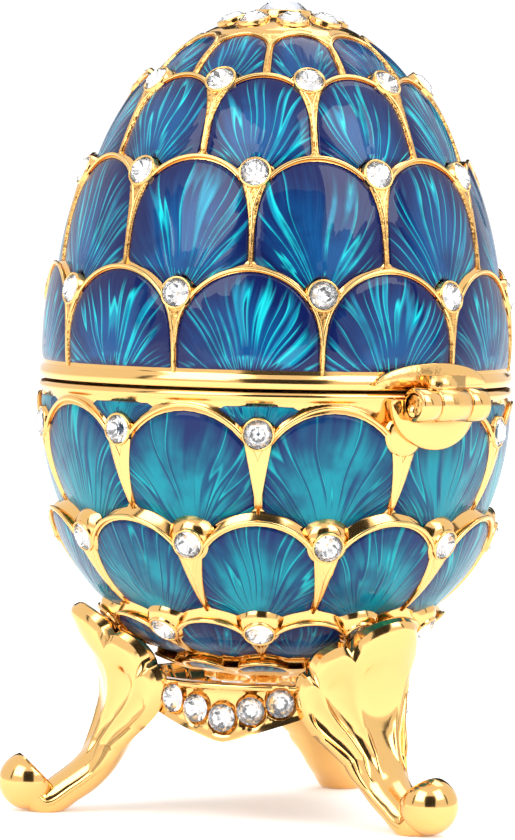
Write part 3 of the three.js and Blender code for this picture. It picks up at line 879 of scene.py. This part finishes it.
def stand_shape(sites):
    shape = Shape()
    columns = np.arange(0, 360, 0.75)
    low = apron_low(columns)
    rows = []
    for s in np.linspace(0, 1, 15):
        radius = RING_OUTER + 0.12 * smooth01((0.12 - s) / 0.12) + 0.1 * (s > 0.95)
        rows.append(around(columns, radius, low + (RING_TOP - 0.5 - low) * s))
    rows += [around(columns, RING_OUTER + 0.3, RING_TOP - drop) for drop in (0.4, 0.1)]
    rows += [around(columns, r, RING_TOP) for r in (RING_OUTER + 0.1, RING_INNER)]
    rows += [around(columns, RING_INNER, RING_TOP + (low - RING_TOP) * s) for s in (0.5, 1)]
    rows.append(rows[0])
    shape.grid(dimple(np.array(rows), sites, 0.7), wrap=True)
    for azimuth in LEG_AZIMUTHS:
        leg_shape(shape, azimuth)
    return shape


# Hinge


KNUCKLE_RADIUS, KNUCKLE_HOLE, PIN_RADIUS, TONGUE_BACK = 1.45, 1.04, 0.95, 20.85


def barrel(shape, radius, start, end, hole=0.0):
    bevel, length = 0.12, end - start
    profile = [(hole, 0), (radius - bevel, 0), (radius, bevel)]
    profile += [(radius, length - bevel), (radius - bevel, length), (hole, length)]
    shape.lathe(profile, (start, HINGE_REACH, HINGE_Z), (1, 0, 0), 40)


def leaf_plate(shape, span, edge_z, far_z, inner, outer):
    share = np.linspace(-1, 1, 41)
    azimuth = HINGE_AZIMUTH + share * span
    edge = latitude_at(edge_z)
    reach = (latitude_at(far_z) - edge) * np.sqrt(np.maximum(0.004, 1 - share**2))
    rows = [(0, inner), (0, outer - 0.1), (0.04, outer), (0.5, outer), (0.93, outer)]
    rows += [(1, outer - 0.15), (1, inner), (0, inner)]
    points = np.array([egg_point(azimuth, edge + reach * s, np.full(41, o)) for s, o in rows])
    shape.grid(points, flip=far_z > edge_z)
    for end in (0, -1):
        shape.add(points[:7, end], [list(range(7))])


def hinge():
    base, lid, pin = Shape(), Shape(), Shape()
    leaf_plate(base, 13, SEAM_Z - 0.55, SEAM_Z - 4.8, -0.2, 0.85)
    leaf_plate(lid, 17, SEAM_Z + 0.5, SEAM_Z + 2.4, -0.2, 0.85)
    for start, end in ((-3.75, -1.75), (1.75, 3.75)):
        barrel(base, KNUCKLE_RADIUS, start, end, KNUCKLE_HOLE)
    barrel(lid, KNUCKLE_RADIUS, -1.65, 1.65, KNUCKLE_HOLE)
    barrel(pin, PIN_RADIUS, -3.65, 3.65)
    for low, high in ((-3.7, -1.75), (1.75, 3.7)):
        block(base, (low, TONGUE_BACK, HINGE_Z - 1.25), (high, HINGE_REACH, HINGE_Z))
    block(lid, (-1.65, TONGUE_BACK, HINGE_Z + 0.6), (1.65, HINGE_REACH + 0.4, SEAM_Z + 1.45))
    return base, lid, pin


def block(shape, low, high):
    xs, ys, zs = zip(low, high)
    corners = np.array([[x, y, z] for x in xs for y in ys for z in zs])
    faces = [[0, 1, 3, 2], [4, 6, 7, 5], [0, 4, 5, 1], [2, 3, 7, 6], [0, 2, 6, 4], [1, 5, 7, 3]]
    shape.add(corners, faces)


# Assembly

crown_sites = []
for k in range(CROWN_STONES):
    a, lat = LID_PHASE + 360 / CROWN_STONES * k, latitude_at(CROWN_Z)
    crown_sites.append((egg_point(a, lat, CROWN_OUT), egg_normal(a, lat), STONE_RADIUS))
top_site = (np.array([0, 0, TOP_JEWEL_Z]), np.array([0, 0, 1.0]), TOP_JEWEL_RADIUS)
lid_row_sites = [row_sites(row) for row in LID_ROWS if row.jewelled]
base_row_sites = [s for row in BASE_ROWS if row.jewelled for s in row_sites(row)]
hinge_spot = around(HINGE_AZIMUTH, 20.3, 33.8)
base_row_sites = [s for s in base_row_sites if np.linalg.norm(s[0] - hinge_spot) > 4.5]
under_sites = []
for k in range(UNDER_STONES):
    place = around(BASE_PHASE + 360 / UNDER_STONES * k, UNDER_RING, BASE_FLAT_Z - 0.1)
    under_sites.append((place, np.array([0, 0, -1.0]), STONE_RADIUS))

lid_sites = [s for group in lid_row_sites for s in group] + crown_sites
lid_body = lid_shell([*lid_sites, top_site])
for site in lid_sites:
    collet(lid_body, site)
collet(lid_body, top_site, 1.0, 0.28)
lid_body.build("lid_gilt", [GILT, SATIN, SEAM_SHADE], "lid", "gilt", replaces=["lid_shell"])
base_sites = base_row_sites + under_sites
base_body = base_shell(base_sites)
for site in base_sites:
    collet(base_body, site)
    if 14 < site[0][2] < 30:
        mound(base_body, site)
hinge_fork = (BASE_PHASE + 2 * HALF_PITCH, BASE_ROWS[-1].stone)
button = [(1.9, -0.9), (1.8, 0.1), (1.4, 0.26), (0.001, 0.3)]
base_body.lathe(button, egg_point(*hinge_fork, 0.0), egg_normal(*hinge_fork), 32)
base_body.build("base_gilt", [GILT, SATIN, SEAM_SHADE], "base", "gilt", replaces=["base_shell"])
enamel_cells(LID_ROWS, 0.2).build("lid_enamel_cells", [LID_ENAMEL], "lid", "enamel")
base_cells = enamel_cells([*BASE_ROWS, SPANDRELS], 0.36, 2)
base_cells.build("base_enamel_cells", [BASE_ENAMEL, LOW_ENAMEL], "base", "enamel")
wires(LID_ROWS, 0.165, 3.0).build("lid_wires", [WIRE, PITTED], "lid", "gilt")
wires(BASE_ROWS, 0.2, 1.2).build("base_wires", [WIRE, WIRE], "base", "gilt")

for number, group in enumerate(lid_row_sites, 1):
    for k, site in enumerate(group, 1):
        node = f"lid_row_{number}_stone_{k:02d}"
        place_stone(node + "_cut", site, SMALL_STONE, "lid", node)
for k, site in enumerate(crown_sites, 1):
    place_stone(f"crown_stone_{k}_cut", site, SMALL_STONE, "lid", f"crown_stone_{k}")
place_stone("top_jewel_cut", top_site, LARGE_STONE, "lid", "top_jewel")
for k, site in enumerate(base_sites, 1):
    place_stone(f"base_stone_{k:02d}", site, SMALL_STONE, "base")

stones = apron_sites()
stand_shape(stones).build("stand_gilt", [GILT], "base", "gilt", replaces=["stand"])
for k, site in enumerate(stones):
    node = f"apron_{k // 5 + 1}_stone_{k % 5 + 1}"
    place_stone(node + "_cut", site, SMALL_STONE, "base", node)

base_leaf, lid_leaf, pin = hinge()
base_leaf.build("base_hinge_gilt", [GILT], "base", "gilt", replaces=["base_hinge_leaf"])
lid_leaf.build("lid_hinge_gilt", [CAST], "lid", "gilt", replaces=["lid_hinge_leaf"])
pin.build("hinge_pin_gilt", [PITTED], "base", "gilt", replaces=["hinge_pin"])

# Stage: pale floor, white surroundings, dark cards that only reflections see, and the camera


def plain(name, color, roughness):
    mat, _, _, shader = new_material(name)
    shader.inputs["Base Color"].default_value = color
    shader.inputs["Roughness"].default_value = roughness
    return mat


floor_mesh = bpy.data.meshes.new("floor")
floor_mesh.from_pydata([(-9, -9, 0), (9, -9, 0), (9, 9, 0), (-9, 9, 0)], [], [[0, 1, 2, 3]])
FLOOR = plain("floor", (0.93, 0.93, 0.93, 1), 0.9)
FLOOR.node_tree.nodes["Principled BSDF"].inputs["Emission Color"].default_value = (1, 1, 1, 1)
FLOOR.node_tree.nodes["Principled BSDF"].inputs["Emission Strength"].default_value = 0.25
floor_mesh.materials.append(FLOOR)
floor = bpy.data.objects.new("floor", floor_mesh)
bpy.context.scene.collection.objects.link(floor)

CARD = plain("card", (0.01, 0.01, 0.01, 1), 1)
VIEW_AZIMUTH = 140.0


def facing(turn, elevation, distance):
    """The place and turn of a thing at an angle from the view direction, facing the object."""
    a, e = math.radians(VIEW_AZIMUTH + turn), math.radians(elevation)
    way = Vector((math.sin(a) * math.cos(e), -math.cos(a) * math.cos(e), math.sin(e)))
    place = Matrix.Translation(Vector((0, 0, 0.04)) + way * distance)
    return place @ way.to_track_quat("Z", "Y").to_matrix().to_4x4()


def card(name, turn, elevation, distance, width, height):
    """A dark card facing the object."""
    mesh = bpy.data.meshes.new(name)
    w, h = width / 2, height / 2
    mesh.from_pydata([(-w, -h, 0), (w, -h, 0), (w, h, 0), (-w, h, 0)], [], [[0, 1, 2, 3]])
    mesh.materials.append(CARD)
    obj = bpy.data.objects.new(name, mesh)
    bpy.context.scene.collection.objects.link(obj)
    obj.matrix_world = facing(turn, elevation, distance)
    obj.visible_camera = False
    obj.visible_shadow = False
    obj.visible_diffuse = False


card("card_front", 4, 18, 0.6, 0.46, 0.5)
card("card_left", -68, 20, 0.9, 0.1, 0.5)
card("card_right", 75, 20, 0.9, 0.1, 0.5)
card("card_back", 176, 24, 0.9, 0.7, 0.6)

world = bpy.data.worlds.new("studio")
bpy.context.scene.world = world
world.use_nodes = True
world.node_tree.nodes["Background"].inputs["Color"].default_value = (1, 1, 1, 1)
world.node_tree.nodes["Background"].inputs["Strength"].default_value = 1.05


def softbox(name, turn, elevation, distance, size, power):
    light = bpy.data.lights.new(name, "AREA")
    light.shape, light.size, light.size_y, light.energy = "RECTANGLE", size[0], size[1], power
    obj = bpy.data.objects.new(name, light)
    bpy.context.scene.collection.objects.link(obj)
    obj.matrix_world = facing(turn, elevation, distance)


softbox("soft_left", -42, 38, 0.8, (0.5, 0.55), 3.2)
softbox("soft_right", 50, 42, 0.8, (0.42, 0.5), 2.5)
softbox("soft_top", 150, 62, 0.9, (0.6, 0.4), 1.8)

ROLL = math.radians(1.15)
camera_data = bpy.data.cameras.new("camera")
camera_data.lens = 222
camera_data.sensor_width = 36
camera_data.clip_start, camera_data.clip_end = 0.02, 20
camera = bpy.data.objects.new("camera", camera_data)
bpy.context.scene.collection.objects.link(camera)
bpy.context.scene.camera = camera
a = math.radians(VIEW_AZIMUTH)
toward, right = Vector((math.sin(a), -math.cos(a), 0)), Vector((math.cos(a), math.sin(a), 0))
axis_point = Vector((0, AXIS_Y / 1000, 0))
shift = right * -0.0015
camera.location = axis_point + toward * 0.448 + shift + Vector((0, 0, 0.0544))
aim = axis_point + shift + Vector((0, 0, 0.0339))
look = (aim - camera.location).normalized()
camera.rotation_mode = "QUATERNION"
camera.rotation_quaternion = look.to_track_quat("-Z", "Y") @ Matrix.Rotation(ROLL, 3, "Z").to_quaternion()

bpy.context.scene.view_settings.view_transform = "Standard"
bpy.context.scene.view_settings.look = "None"
